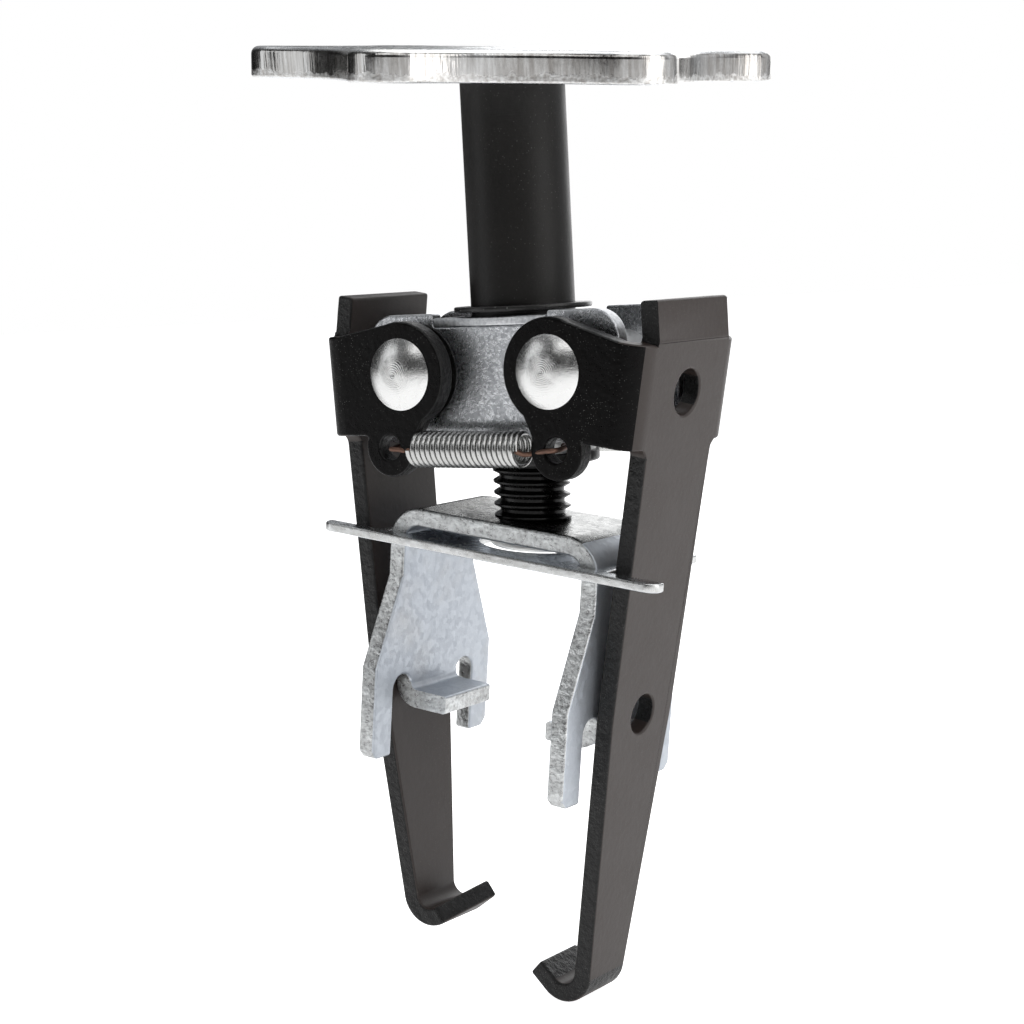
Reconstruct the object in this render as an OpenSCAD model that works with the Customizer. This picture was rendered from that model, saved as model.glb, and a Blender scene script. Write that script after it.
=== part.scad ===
// Two-jaw overhead valve spring compressor: a lobed hand wheel on a long
// threaded sleeve drives a screw, a forked yoke and two sprung hooked jaws.

/* [Hand wheel and sleeve] */
// radius to the tip of a lobe
wheel_r = 39.4; // [35:0.1:45]
// radius at the bottom of a valley
wheel_valley_r = 31; // [25:0.1:36]
// radius of a lobe tip
lobe_r = 7; // [4:0.1:10]
// wheel plate thickness
wheel_t = 4.6; // [3:0.1:8]
// height of the wheel's underside over the housing
wheel_z = 34.8; // [25:0.1:60]
// how far the wheel leans about X on its sleeve
wheel_tilt_x = 2.9; // [-8:0.1:8]
// how far the wheel leans about Y on its sleeve
wheel_tilt_y = 6.1; // [-8:0.1:8]
// turn of the first lobe
wheel_turn = 35.3; // [0:0.1:60]
// outer radius of the threaded sleeve
sleeve_r = 8; // [7:0.05:10]
// radius of the spigot that passes through the wheel
spigot_r = 7; // [6.5:0.05:8]
// radius of the retaining ring
ring_r = 10.6; // [9:0.1:13]
// thickness of the retaining ring
ring_t = 0.8; // [0.5:0.1:2]
// radius of the thrust flange under the housing
flange_r = 10.7; // [9:0.1:13]

/* [Screw] */
// thread outside radius
screw_r = 5.95; // [5:0.05:8]
// length of thread above the yoke
screw_len = 58; // [40:1:80]
// radius of the neck riveted into the yoke
neck_r = 4.5; // [3:0.1:6]

/* [Housing] */
// half width of the housing
house_x = 23; // [18:0.1:30]
// half depth of the housing over its plates
house_y = 9.4; // [7:0.1:14]
// height of the housing channel
house_h = 20; // [15:0.5:30]
// housing plate thickness
house_t = 2.5; // [1.5:0.1:4]
// outer bend radius of the channel
house_bend = 4.2; // [3:0.1:6]
// corner radius of the channel's ears
house_corner = 4.5; // [2:0.1:8]
// half width of the notch that holds the top plate
notch_x = 10.4; // [8:0.1:14]
// depth of that notch
notch_d = 2; // [1:0.1:4]
// thickness of the top plate
top_t = 1.3; // [1:0.1:3]

/* [Rivets] */
// half the distance between the two rivets
rivet_x = 13.58; // [10:0.01:18]
// depth of the rivets below the top of the housing
rivet_drop = 8.85; // [6:0.05:12]
// shank radius
rivet_r = 4; // [3:0.05:5]
// head radius
head_r = 5.5; // [4:0.1:8]
// head height
head_h = 1.7; // [1:0.1:3]

/* [Jaws] */
// jaw plate thickness
jaw_t = 2.9; // [2:0.1:4]
// distance of the strap's outer face from the rivet
jaw_face = 15.47; // [12:0.05:20]
// outer face of the ears from the middle
ear_y = 14.3; // [12:0.1:18]
// lean of a strap from the line through its rivet
strap_lean = 7.5; // [0:0.1:15]
// swing of the left jaw to one side
left_swing = 5.3; // [0:0.1:8]
// swing of the right jaw to the same side
right_swing = 4.3; // [0:0.1:8]
// depth of the left jaw's hook bend below its rivet
left_bend = 84.3; // [60:0.5:110]
// depth of the right jaw's hook bend below its rivet
right_bend = 93.3; // [60:0.5:110]
// straight length of the left hook at its front corner
left_hook = 0.3; // [0.1:0.1:20]
// straight length of the left hook at its back corner
left_hook_back = 4.3; // [0.1:0.1:20]
// straight length of the right hook
right_hook = 3.6; // [1:0.1:20]
// angle that a hook is bent through
hook_turn = 123; // [80:1:130]
// outer radius of the hook bend
hook_bend = 5; // [4:0.1:8]
// radius of the upper hole in a strap
upper_hole_r = 3.45; // [2:0.05:5]
// radius of the lower hole in a strap
lower_hole_r = 3.05; // [2:0.05:5]

/* [Springs] */
// outer radius of a spring
spring_r = 2.9; // [2:0.1:4]
// wire radius
wire_r = 0.45; // [0.3:0.05:0.8]

/* [Yoke and guide plate] */
// outer face of a yoke leg from the middle
yoke_x = 19.35; // [15:0.05:25]
// yoke plate thickness
yoke_t = 2.9; // [2:0.1:4]
// outer bend radius of the yoke
yoke_bend = 5.5; // [4:0.1:8]
// height of the yoke's top face below the housing's top
yoke_top = 31.85; // [25:0.05:40]
// half width of the yoke's neck
neck_y = 9.56; // [7:0.05:12]
// half width over the feet
foot_y = 15.3; // [12:0.1:20]
// inner edge of a foot
foot_in = 10.5; // [8:0.1:14]
// length of the yoke from its top face to its feet
yoke_len = 40; // [30:0.1:60]
// half width of a tab
tab_y = 6; // [4:0.1:8]
// how far a tab stands in from its leg
tab_len = 6.9; // [4:0.1:10]
// height of a tab's top face below the housing's top
tab_top = 61.8; // [50:0.1:70]
// lean of the yoke about Y
yoke_lean = 7.3; // [0:0.1:10]
// guide plate thickness
guide_t = 1.4; // [1:0.1:3]
// half length of the guide plate
guide_x = 31; // [25:0.1:40]
// half width of the guide plate
guide_y = 12.5; // [10:0.1:16]
// half width of the notch a jaw slides in
jaw_notch = 9.7; // [8:0.1:12]

/* [Hidden] */

$fn = 96;
zinc = [0.78, 0.8, 0.82];
black = [0.07, 0.07, 0.07];
steel = [0.7, 0.7, 0.72];

rise = 107.35;
fit_r = 0.06;
gap = 0.1;
over = 1;
wide = 200;

lobe_a = wheel_r - lobe_r;
valley_n = lobe_r - wheel_valley_r;
valley_d = (lobe_a * lobe_a - valley_n * valley_n) / (2 * (lobe_a * cos(30) + valley_n));
valley_bite = 0.1;
valley_r = valley_d - wheel_valley_r + valley_bite;
lip_h = -0.2;
sleeve_bottom = -20.1;
washer_r = 10.2;
washer_z = -21.7;
flange_z = -23.4;

ear_t = jaw_t;
ear_in = ear_y - ear_t;
ear_ring_r = 8;
ear_bend = 4.2;
ear_top = 6.5;
ear_low = -9;
ear_turn_x = jaw_face - ear_bend;
ear_strap_y = ear_y - ear_bend;
strap_top = 7.3;
tab_rise = 5.7;
tab_lean = 12.4;
tab_half = 9.9;
strap_y1 = 9.3;
strap_y2 = 8.6;
strap_z2 = -51;
hook_y = 5.1;
spring_hole_x = 3.1;
spring_hole_z = -11.09;
spring_hole_r = 1.9;
lobe_ear_r = 4.5;
upper_hole_z = -1;
lower_hole_z = -50.8;
washer_out = 7.6;
spacer_out = 5.2;

lean_z = -23.5;
yoke_z = -yoke_top;
yoke_foot = -yoke_top - yoke_len;
web_hole_x = 1.07;
flare_z1 = -43;
flare_z2 = -57;
foot_cut = 1.2;
slot_z = -61.3;
slot_r = 2.25;
tab_bend = 3.9;
guide_z = -36;
guide_hole_r = 8;
guide_back_x = 23.5;
notch_floor = 21.15;
finger_r = 2;
screw_head_r = 6.5;
screw_head_t = 1.6;

left_hole_x = -16.08;
left_hole_z = -20.19;
right_hole_x = 14.35;
right_hole_z = -20.33;
coil_left = -10.8;
coil_right = 8.3;
coil_z = -20.3;
coil_y = 13.4;

// ---- helpers -------------------------------------------------------------

module lift() {
    translate([0, 0, rise]) children();
}

module along_y(r, y0, y1) {
    translate([0, y1, 0]) rotate([90, 0, 0]) cylinder(r = r, h = y1 - y0);
}

module along_x(r, x0, x1) {
    translate([x0, 0, 0]) rotate([0, 90, 0]) cylinder(r = r, h = x1 - x0);
}

module slab(x0, x1, y0, y1, z0, z1) {
    translate([x0, y0, z0]) cube([x1 - x0, y1 - y0, z1 - z0]);
}

// a quarter bend in plan, its axis along Z
module bend_z(r_out, t, z0, z1) {
    translate([0, 0, z0]) rotate_extrude(angle = 90)
        translate([r_out - t, 0]) square([t, z1 - z0]);
}

// a bend in elevation, its axis along Y, from +X turning down by angle a
module bend_y(r_out, t, half, a) {
    rotate([90, 0, 0]) rotate([0, 0, -a]) rotate_extrude(angle = a)
        translate([r_out - t, -half]) square([t, 2 * half]);
}

module wheel_lean() {
    translate([0, 0, wheel_z]) rotate([wheel_tilt_x, wheel_tilt_y, 0])
        rotate([0, 0, wheel_turn]) children();
}

module yoke_place() {
    translate([0, 0, lean_z]) rotate([0, yoke_lean, 0]) translate([0, 0, -lean_z]) children();
}

// ---- hand wheel and sleeve -----------------------------------------------

// a corner of the core, just inside lobe i where it meets the valley beside it
function inside(i, s) =
    let (a = i * 60, b = a + s * 30,
         dx = valley_d * cos(b) - lobe_a * cos(a),
         dy = valley_d * sin(b) - lobe_a * sin(a),
         n = sqrt(dx * dx + dy * dy) / (lobe_r - 3 * valley_bite))
    [lobe_a * cos(a) + dx / n, lobe_a * sin(a) + dy / n];

module hand_wheel() {
    core = [for (i = [0:5], s = [-1, 1]) inside(i, s)];
    color(zinc) lift() difference() {
        wheel_lean() intersection() {
            slab(-wheel_r - over, wheel_r + over, -wheel_r - over, wheel_r + over, 0, wheel_t);
            difference() {
                union() {
                    translate([0, 0, -over]) linear_extrude(wheel_t + 2 * over) polygon(core);
                    for (i = [0:5])
                        rotate([0, 0, i * 60]) translate([lobe_a, 0, -over])
                            cylinder(r = lobe_r, h = wheel_t + 2 * over);
                }
                for (i = [0:5])
                    rotate([0, 0, i * 60 + 30]) translate([valley_d, 0, -2 * over])
                        cylinder(r = valley_r, h = wheel_t + 4 * over);
            }
        }
        translate([0, 0, wheel_z - wheel_t]) cylinder(r = spigot_r, h = 3 * wheel_t);
    }
}

module drive_tube() {
    color(black) lift() difference() {
        union() {
            difference() {
                translate([0, 0, sleeve_bottom])
                    cylinder(r = sleeve_r, h = wheel_z - sleeve_bottom + wheel_t);
                wheel_lean() slab(-wide, wide, -wide, wide, 0, wide);
            }
            difference() {
                translate([0, 0, wheel_z - wheel_t]) cylinder(r = spigot_r, h = 3 * wheel_t);
                wheel_lean() slab(-wide, wide, -wide, wide, wheel_t + lip_h, wide);
            }
        }
        translate([0, 0, sleeve_bottom - over]) cylinder(r = screw_r + fit_r, h = wide);
    }
}

module retaining_ring() {
    color(black) lift() difference() {
        cylinder(r = ring_r, h = ring_t);
        translate([0, 0, -over]) cylinder(r = sleeve_r, h = ring_t + 2 * over);
    }
}

module thrust_washer() {
    color(steel) lift() translate([0, 0, washer_z]) difference() {
        cylinder(r = washer_r, h = sleeve_bottom - washer_z);
        translate([0, 0, -over]) cylinder(r = screw_r + fit_r, h = wide);
    }
}

module thrust_flange() {
    color(black) lift() translate([0, 0, flange_z]) difference() {
        cylinder(r = flange_r, h = washer_z - flange_z);
        translate([0, 0, -over]) cylinder(r = screw_r + fit_r, h = wide);
    }
}

// ---- housing -------------------------------------------------------------

module plate_corners(y0, y1) {
    for (s = [-1, 1])
        difference() {
            translate([s * (house_x - house_corner / 2 + over / 2), (y0 + y1) / 2,
                       over / 2 - house_corner / 2])
                cube([house_corner + over, y1 - y0 + 2 * over, house_corner + over], center = true);
            translate([s * (house_x - house_corner), 0, -house_corner])
                along_y(house_corner, y0 - 2 * over, y1 + 2 * over);
        }
}

module housing() {
    color(zinc) lift() difference() {
        union() {
            for (s = [0, 1]) mirror([0, s, 0]) {
                slab(-house_x, house_x, house_y - house_t, house_y, house_bend - house_h, 0);
                translate([-house_x, house_y - house_bend, house_bend - house_h])
                    rotate([0, 90, 0]) bend_z(house_bend, house_t, 0, 2 * house_x);
            }
            slab(-house_x, house_x, house_bend - house_y, house_y - house_bend,
                 -house_h, house_t - house_h);
        }
        for (s = [0, 1]) mirror([0, s, 0]) plate_corners(house_y - house_t, house_y);
        slab(-notch_x - gap, notch_x + gap, -wide, wide, -notch_d, wide);
        for (s = [-1, 1])
            translate([s * rivet_x, 0, -rivet_drop]) along_y(rivet_r, -wide, wide);
        translate([0, 0, -wide / 2]) cylinder(r = sleeve_r + fit_r, h = wide);
    }
}

module top_plate() {
    color(zinc) lift() difference() {
        slab(-notch_x, notch_x, -house_y, house_y, -notch_d, top_t - notch_d);
        translate([0, 0, -wide / 2]) cylinder(r = sleeve_r + fit_r, h = wide);
    }
}

module rivet(side) {
    dome_r = (head_r * head_r + head_h * head_h) / (2 * head_h);
    color(steel) lift() translate([side * rivet_x, 0, -rivet_drop]) {
        along_y(rivet_r, -ear_y - gap, ear_y + gap);
        for (s = [0, 1]) mirror([0, s, 0])
            translate([0, ear_y + gap, 0]) rotate([-90, 0, 0]) intersection() {
                translate([0, 0, head_h - dome_r]) sphere(r = dome_r);
                cylinder(r = head_r + over, h = head_h + over);
            }
    }
}

module left_rivet() {
    rivet(-1);
}

module right_rivet() {
    rivet(1);
}

module spacer(side) {
    half = house_y - house_t;
    color(steel) lift() translate([side * rivet_x, 0, -rivet_drop]) difference() {
        along_y(spacer_out, -half, half);
        along_y(rivet_r, -wide, wide);
    }
}

module left_spacer() {
    spacer(-1);
}

module right_spacer() {
    spacer(1);
}

module washers(side) {
    color(black) lift() translate([side * rivet_x, 0, -rivet_drop])
        for (s = [0, 1]) mirror([0, s, 0]) difference() {
            along_y(washer_out, house_y + gap, ear_in - gap);
            along_y(rivet_r + fit_r, -wide, wide);
        }
}

module left_washers() {
    washers(-1);
}

module right_washers() {
    washers(1);
}

// ---- jaws ----------------------------------------------------------------

// one jaw about its rivet, its strap upright and outboard along +X
module jaw(bend_depth, hook_front, hook_back) {
    arc_x = jaw_face - hook_bend;
    end_a = hook_turn;
    difference() {
        union() {
            // strap from the crease to the hook bend
            translate([jaw_face - jaw_t, 0, 0]) rotate([90, 0, 90]) linear_extrude(jaw_t)
                polygon([[-tab_half, strap_top], [-ear_strap_y, ear_top], [-ear_strap_y, ear_low],
                         [-strap_y1, ear_low - 1], [-strap_y2, strap_z2], [-hook_y, -bend_depth],
                         [hook_y, -bend_depth], [strap_y2, strap_z2], [strap_y1, ear_low - 1],
                         [ear_strap_y, ear_low], [ear_strap_y, ear_top], [tab_half, strap_top]]);
            // top tab, leaning in above the crease
            translate([jaw_face, 0, strap_top]) rotate([0, -tab_lean, 0])
                slab(-jaw_t, 0, -tab_half, tab_half, -0.6, tab_rise);
            // hook
            translate([arc_x, 0, -bend_depth]) {
                bend_y(hook_bend, jaw_t, hook_y, end_a);
                rotate([0, end_a, 0])
                    slab(hook_bend - jaw_t, hook_bend, -hook_y, hook_y, -hook_back, 0);
            }
            // ears and the bends that carry them
            for (s = [0, 1]) mirror([0, s, 0]) {
                translate([ear_turn_x, ear_strap_y, 0]) bend_z(ear_bend, jaw_t, ear_low, ear_top);
                along_y(ear_ring_r, ear_in, ear_y);
                translate([spring_hole_x, 0, spring_hole_z]) along_y(lobe_ear_r, ear_in, ear_y);
                translate([0, ear_y, 0]) rotate([90, 0, 0]) linear_extrude(ear_t)
                    polygon([[0, ear_ring_r], [ear_turn_x, ear_top], [ear_turn_x, ear_low],
                             [spring_hole_x + 4.05, spring_hole_z + 1.9],
                             [spring_hole_x, spring_hole_z],
                             [spring_hole_x - 4.4, spring_hole_z + 0.9], [-3.4, -7.24]]);
            }
        }
        if (hook_back > hook_front)
            translate([arc_x, 0, -bend_depth]) rotate([0, end_a, 0])
                translate([0, hook_y, -hook_back])
                    rotate([-atan((hook_back - hook_front) / (2 * hook_y)), 0, 0])
                        slab(0, hook_bend + over, -wide, wide, -wide / 2, 0);
        along_y(rivet_r + fit_r, -wide, wide);
        translate([spring_hole_x, 0, spring_hole_z]) along_y(spring_hole_r, -wide, wide);
        translate([0, 0, upper_hole_z]) along_x(upper_hole_r, jaw_face - 2 * jaw_t, wide);
        translate([0, 0, lower_hole_z]) along_x(lower_hole_r, jaw_face - 2 * jaw_t, wide);
    }
}

module left_jaw() {
    color(black) lift() translate([-rivet_x, 0, -rivet_drop])
        rotate([0, left_swing - strap_lean, 0]) mirror([1, 0, 0]) jaw(left_bend, left_hook, left_hook_back);
}

module right_jaw() {
    color(black) lift() translate([rivet_x, 0, -rivet_drop])
        rotate([0, right_swing + strap_lean, 0]) jaw(right_bend, right_hook, right_hook);
}

// ---- springs -------------------------------------------------------------

module coil_spring() {
    hook_out = ear_y + wire_r + gap;
    translate([0, -coil_y, coil_z]) difference() {
        along_x(spring_r, coil_left, coil_right);
        along_x(spring_r - 2 * wire_r, coil_left + 2 * wire_r, coil_right - 2 * wire_r);
    }
    translate([0, -hook_out, left_hole_z]) along_x(wire_r, left_hole_x, coil_left + wire_r);
    translate([0, -hook_out, right_hole_z]) along_x(wire_r, coil_right - wire_r, right_hole_x);
    translate([left_hole_x, 0, left_hole_z]) along_y(wire_r, -hook_out, -ear_in + wire_r);
    translate([right_hole_x, 0, right_hole_z]) along_y(wire_r, -hook_out, -ear_in + wire_r);
    translate([left_hole_x, -hook_out, left_hole_z]) sphere(r = wire_r);
    translate([right_hole_x, -hook_out, right_hole_z]) sphere(r = wire_r);
}

module front_spring() {
    color(steel) lift() coil_spring();
}

module back_spring() {
    color(steel) lift() mirror([0, 1, 0]) coil_spring();
}

// ---- screw, yoke and guide plate -----------------------------------------

module screw() {
    color(black) lift() union() {
        difference() {
            translate([0, 0, yoke_z - 2]) cylinder(r = screw_r, h = screw_len);
            yoke_place() slab(-wide, wide, -wide, wide, -wide, yoke_z);
        }
        yoke_place() translate([web_hole_x, 0, yoke_z - yoke_t])
            cylinder(r = neck_r, h = yoke_t + 2);
    }
}

module screw_rivet() {
    color(steel) lift() yoke_place()
        translate([web_hole_x, 0, yoke_z - yoke_t - screw_head_t])
            cylinder(r = screw_head_r, h = screw_head_t);
}

module yoke_leg() {
    leg_top = yoke_z - yoke_bend;
    tongue = -tab_top - yoke_t + tab_bend;
    difference() {
        translate([yoke_x - yoke_t, 0, 0]) rotate([90, 0, 90]) linear_extrude(yoke_t)
            polygon([[-neck_y, leg_top], [-neck_y, flare_z1], [-foot_y, flare_z2],
                     [-foot_y, yoke_foot + foot_cut], [-foot_y + foot_cut, yoke_foot],
                     [foot_y - foot_cut, yoke_foot], [foot_y, yoke_foot + foot_cut],
                     [foot_y, flare_z2], [neck_y, flare_z1], [neck_y, leg_top]]);
        slab(-wide, wide, -foot_in, foot_in, -wide, slot_z);
        for (s = [-1, 1])
            translate([0, s * (foot_in - slot_r), slot_z]) along_x(slot_r, 0, wide);
    }
    slab(yoke_x - yoke_t, yoke_x, -tab_y, tab_y, tongue, slot_z + 0.01);
    translate([yoke_x - tab_bend, 0, tongue]) bend_y(tab_bend, yoke_t, tab_y, 90);
    slab(yoke_x - yoke_t - tab_len, yoke_x - tab_bend, -tab_y, tab_y,
         -tab_top - yoke_t, -tab_top);
}

module yoke() {
    corner_z = yoke_z - yoke_bend;
    color(zinc) lift() yoke_place() {
        difference() {
            slab(yoke_bend - yoke_x, yoke_x - yoke_bend, -neck_y, neck_y, yoke_z - yoke_t, yoke_z);
            translate([web_hole_x, 0, yoke_z - 2 * yoke_t]) cylinder(r = neck_r, h = 3 * yoke_t);
        }
        for (s = [0, 1]) mirror([s, 0, 0]) {
            translate([yoke_x - yoke_bend, 0, corner_z])
                rotate([0, -90, 0]) bend_y(yoke_bend, yoke_t, neck_y, 90);
            yoke_leg();
        }
    }
}

module guide_plate() {
    leg_in = yoke_x - yoke_t - 0.45;
    leg_out = yoke_x + 0.15;
    half = guide_y - finger_r;
    color(zinc) lift() yoke_place() translate([0, 0, guide_z - guide_t]) difference() {
        union() {
            slab(finger_r - guide_x, guide_x - finger_r, -guide_y, guide_y, 0, guide_t);
            slab(-guide_x, guide_x, -half, half, 0, guide_t);
            for (s = [-1, 1], v = [-1, 1])
                translate([s * (guide_x - finger_r), v * half, 0])
                    cylinder(r = finger_r, h = guide_t);
        }
        for (s = [0, 1]) mirror([s, 0, 0]) {
            slab(notch_floor, wide, -jaw_notch, jaw_notch, -over, guide_t + over);
            slab(leg_in, leg_out, -neck_y - 0.15, neck_y + 0.15, -over, guide_t + over);
            slab(guide_back_x, wide, 0, wide, -over, guide_t + over);
        }
        translate([web_hole_x, 0, -over]) cylinder(r = guide_hole_r, h = guide_t + 2 * over);
    }
}

hand_wheel();
drive_tube();
retaining_ring();
thrust_washer();
thrust_flange();
housing();
top_plate();
left_rivet();
right_rivet();
left_spacer();
right_spacer();
left_washers();
right_washers();
left_jaw();
right_jaw();
front_spring();
back_spring();
screw();
screw_rivet();
yoke();
guide_plate();
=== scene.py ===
# A two-jaw overhead valve spring compressor, from its hand wheel down to its hooks.
# Millimetres are turned to metres where each piece is made; +Z is up along the screw.
from math import pi, radians

import bmesh
import bpy
from mathutils import Euler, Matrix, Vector
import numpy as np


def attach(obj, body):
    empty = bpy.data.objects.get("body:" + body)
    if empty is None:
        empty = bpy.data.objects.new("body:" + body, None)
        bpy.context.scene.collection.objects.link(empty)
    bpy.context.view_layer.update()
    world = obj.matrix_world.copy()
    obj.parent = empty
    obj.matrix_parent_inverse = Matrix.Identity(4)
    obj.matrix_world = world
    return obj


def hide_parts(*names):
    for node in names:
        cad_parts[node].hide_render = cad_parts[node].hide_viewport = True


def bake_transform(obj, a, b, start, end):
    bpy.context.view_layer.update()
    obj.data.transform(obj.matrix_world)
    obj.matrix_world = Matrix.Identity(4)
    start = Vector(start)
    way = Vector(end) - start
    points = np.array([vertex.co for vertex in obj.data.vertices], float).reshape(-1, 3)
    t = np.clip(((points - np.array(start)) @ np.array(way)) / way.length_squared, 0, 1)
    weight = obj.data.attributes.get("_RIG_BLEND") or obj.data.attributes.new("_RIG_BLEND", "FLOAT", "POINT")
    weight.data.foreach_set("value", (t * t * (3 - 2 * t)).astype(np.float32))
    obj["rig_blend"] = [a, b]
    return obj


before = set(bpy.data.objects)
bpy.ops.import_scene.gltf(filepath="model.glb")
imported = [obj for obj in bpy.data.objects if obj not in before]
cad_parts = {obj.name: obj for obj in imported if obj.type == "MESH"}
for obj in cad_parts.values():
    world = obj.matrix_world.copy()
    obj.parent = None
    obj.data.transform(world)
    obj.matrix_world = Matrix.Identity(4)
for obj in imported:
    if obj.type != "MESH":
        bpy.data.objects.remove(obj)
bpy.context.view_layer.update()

# ---------------------------------------------------------------------------
# Studio. A level pale floor, five soft lights round and above the tool, and a
# camera level with the wheel, looking slightly down. The air is bright behind
# and above and dark in front, with bands round it that the bright steel reflects.

bpy.ops.object.select_all(action="DESELECT")
scene = bpy.context.scene
scene.view_settings.view_transform = "Standard"

bpy.ops.object.camera_add(location=(0.198723, -0.286513, 0.113745),
                          rotation=(radians(83.579), radians(2.858), radians(34.978)))
camera = bpy.context.object
camera.name = "studio_camera"
camera.data.lens = 79.67
camera.data.sensor_width = 36
camera.data.shift_y = 0.01057
camera.data.clip_start = 0.01
camera.data.dof.use_dof = False
scene.camera = camera


def soft_light(name, place, aim, size, power, tint):
    bpy.ops.object.light_add(type="AREA", location=place)
    light = bpy.context.object
    light.name = name
    light.rotation_euler = (Vector(place) - Vector(aim)).to_track_quat("Z", "Y").to_euler()
    light.data.shape = "RECTANGLE"
    light.data.size, light.data.size_y = size
    light.data.energy = power
    light.data.color = tint


soft_light("right_softbox", (0.62, 0.02, 0.26), (0, 0, 0.08), (0.5, 0.7), 1.9, (1, 0.985, 0.97))
soft_light("left_softbox", (-0.55, -0.42, 0.28), (0, 0, 0.08), (0.35, 0.6), 0.6, (0.97, 0.985, 1))
soft_light("top_softbox", (0.05, 0.12, 0.75), (0, 0, 0.1), (0.8, 0.8), 2.3, (1, 1, 1))
soft_light("front_softbox", (0.2, -0.5, 0.62), (0, 0, 0.12), (0.7, 0.25), 0.6, (1, 1, 1))
soft_light("back_softbox", (-0.15, 0.7, 0.3), (0, 0, 0.1), (0.6, 0.5), 1.6, (1, 1, 1))

def node(tree, kind, links=(), **values):
    """Adds a node, sets its named or numbered inputs and properties, and links it."""
    made = tree.nodes.new(kind)
    for key, value in values.items():
        if hasattr(made, key):
            setattr(made, key, value)
        else:
            made.inputs[key.replace("_", " ")].default_value = value
    for target, source in links:
        tree.links.new(source, made.inputs[target])
    return made


def maths(tree, operation, a, b=None, c=None, clamp=False):
    made = tree.nodes.new("ShaderNodeMath")
    made.operation = operation
    made.use_clamp = clamp
    for i, v in enumerate((a, b, c)):
        if v is None:
            continue
        if isinstance(v, (int, float)):
            made.inputs[i].default_value = v
        else:
            tree.links.new(v, made.inputs[i])
    return made.outputs[0]


world = bpy.data.worlds.new("studio_air")
scene.world = world
world.use_nodes = True
tree = world.node_tree
tree.nodes.clear()
where = node(tree, "ShaderNodeTexCoord").outputs["Generated"]
bright_side = node(tree, "ShaderNodeVectorMath", [(0, where)], operation="DOT_PRODUCT")
bright_side.inputs[1].default_value = (0.42, 0.5, 0.76)
ramp = node(tree, "ShaderNodeValToRGB", [(0, bright_side.outputs["Value"])])
ramp.color_ramp.elements[0].position = 0.0
ramp.color_ramp.elements[0].color = (0.035, 0.035, 0.035, 1)
ramp.color_ramp.elements[1].position = 0.85
ramp.color_ramp.elements[1].color = (0.72, 0.73, 0.75, 1)
parts = node(tree, "ShaderNodeSeparateXYZ", [(0, where)])
bearing = maths(tree, "ARCTAN2", parts.outputs["Y"], parts.outputs["X"])
band = maths(tree, "SINE", maths(tree, "MULTIPLY", bearing, 8))
banded = node(tree, "ShaderNodeVectorMath", [(0, ramp.outputs[0])], operation="SCALE")
tree.links.new(maths(tree, "MULTIPLY_ADD", band, 0.4, 0.72), banded.inputs["Scale"])
air_lit = node(tree, "ShaderNodeBackground", [("Color", banded.outputs[0])])
air_seen = node(tree, "ShaderNodeBackground", Color=(1, 1, 1, 1))
rays = node(tree, "ShaderNodeLightPath")
air = node(tree, "ShaderNodeMixShader", [(0, rays.outputs["Is Camera Ray"]), (1, air_lit.outputs[0]),
                                         (2, air_seen.outputs[0])])
node(tree, "ShaderNodeOutputWorld", [("Surface", air.outputs[0])])

bpy.ops.mesh.primitive_circle_add(vertices=96, radius=6, fill_type="NGON", location=(0, 0, 0))
floor = bpy.context.object
floor.name = "studio_floor"
paper = bpy.data.materials.new("floor_paper")
paper.use_nodes = True
tree = paper.node_tree
shader = tree.nodes["Principled BSDF"]
shader.inputs["Base Color"].default_value = (0.92, 0.92, 0.92, 1)
shader.inputs["Roughness"].default_value = 0.9
shader.inputs["Emission Color"].default_value = (1, 1, 1, 1)
rays = node(tree, "ShaderNodeLightPath")
glow = maths(tree, "MULTIPLY_ADD", rays.outputs["Is Camera Ray"], 0.6, 0.4)
tree.links.new(glow, shader.inputs["Emission Strength"])
floor.data.materials.append(paper)

# ---------------------------------------------------------------------------
# Hand wheel. A plate of 4.6 mm steel, blanked in a press to six lobes and zinc
# plated. The press left a rolled upper rim, a smooth sheared band with fine
# upright lines, and a torn band along the bottom. It leans a little.

MM = 0.001
rise = 107.35  # from the hooks up to the housing's top


def pick(test, kind="FACE"):
    """Selects the faces or edges that pass the test, and nothing else, in edit mode."""
    bpy.ops.mesh.select_mode(type=kind)
    bpy.ops.mesh.select_all(action="DESELECT")
    bm = bmesh.from_edit_mesh(bpy.context.object.data)
    for part in bm.faces if kind == "FACE" else bm.edges:
        part.select = bool(test(part))
    bm.select_flush_mode()
    bmesh.update_edit_mesh(bpy.context.object.data)


def press_copy(cad_name, name):
    """A copy of a CAD node in clean faces, ready to be rounded and given its finishes."""
    bpy.ops.object.select_all(action="DESELECT")
    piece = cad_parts[cad_name].copy()
    piece.data = piece.data.copy()
    piece.name = piece.data.name = name
    for key in list(piece.keys()):
        del piece[key]
    piece.parent = None
    scene.collection.objects.link(piece)
    piece.select_set(True)
    bpy.context.view_layer.objects.active = piece
    piece.data.materials.clear()
    bpy.ops.object.mode_set(mode="EDIT")
    bpy.ops.mesh.select_all(action="SELECT")
    bpy.ops.mesh.remove_doubles(threshold=0.000002)
    bpy.ops.mesh.dissolve_limited(angle_limit=radians(0.6))
    bpy.ops.object.mode_set(mode="OBJECT")
    return piece


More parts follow.
